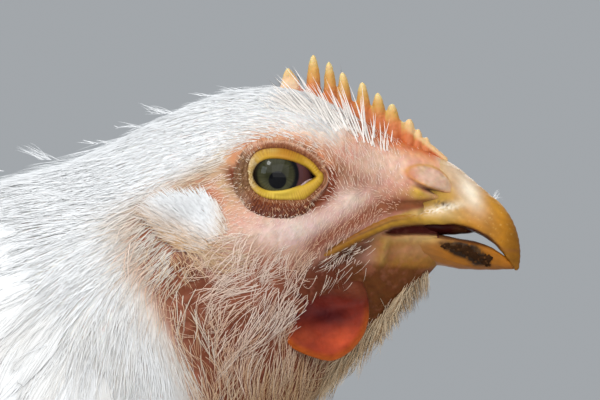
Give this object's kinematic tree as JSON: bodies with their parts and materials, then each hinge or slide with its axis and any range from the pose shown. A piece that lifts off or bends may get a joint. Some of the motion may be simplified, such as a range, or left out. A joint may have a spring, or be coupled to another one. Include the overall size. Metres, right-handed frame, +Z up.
{
  "type": "standing hen figure",
  "caption": "Life-size still model of a white meat-type hen, standing with its head level, with a small spiky single comb, short wattles, folded wings and a raised fan tail.",
  "frame": {"origin": "on the floor under the middle of the model's overall box", "axes": "+X the way the hen faces, +Y to its left, +Z up; it stands on the XY plane"},
  "size_m": [0.4353, 0.2008, 0.3534],
  "materials": {
    "feather": "soft white overlapping feathers",
    "face_skin": "thin pink skin with short pale bristles, white feathered behind the ear",
    "comb": "fleshy, orange with pale tips",
    "wattle": "fleshy, dark red with a brighter rim",
    "bill": "satin ochre horn",
    "eye": "wet, grey-green iris with a dark pupil",
    "leg_scale": "yellow overlapping scales",
    "claw": "pale horn"
  },
  "bodies": {
    "root": {"bill_lower": "bill", "bill_upper": "bill", "claw_hind_left": "claw", "claw_hind_right": "claw", "claw_inner_left": "claw", "claw_inner_right": "claw", "claw_middle_left": "claw", "claw_middle_right": "claw", "claw_outer_left": "claw", "claw_outer_right": "claw", "comb": "comb", "eye_left": "eye", "eye_right": "eye", "foot_left": "leg_scale", "foot_right": "leg_scale", "head": "face_skin", "neck": "feather", "shank_left": "leg_scale", "shank_right": "leg_scale", "tail": "feather", "thigh_left": "feather", "thigh_right": "feather", "toe_hind_left": "leg_scale", "toe_hind_right": "leg_scale", "toe_inner_left": "leg_scale", "toe_inner_right": "leg_scale", "toe_middle_left": "leg_scale", "toe_middle_right": "leg_scale", "toe_outer_left": "leg_scale", "toe_outer_right": "leg_scale", "torso": "feather", "wattle_left": "wattle", "wattle_right": "wattle", "wing_left": "feather", "wing_right": "feather"}
  },
  "joints": []
}
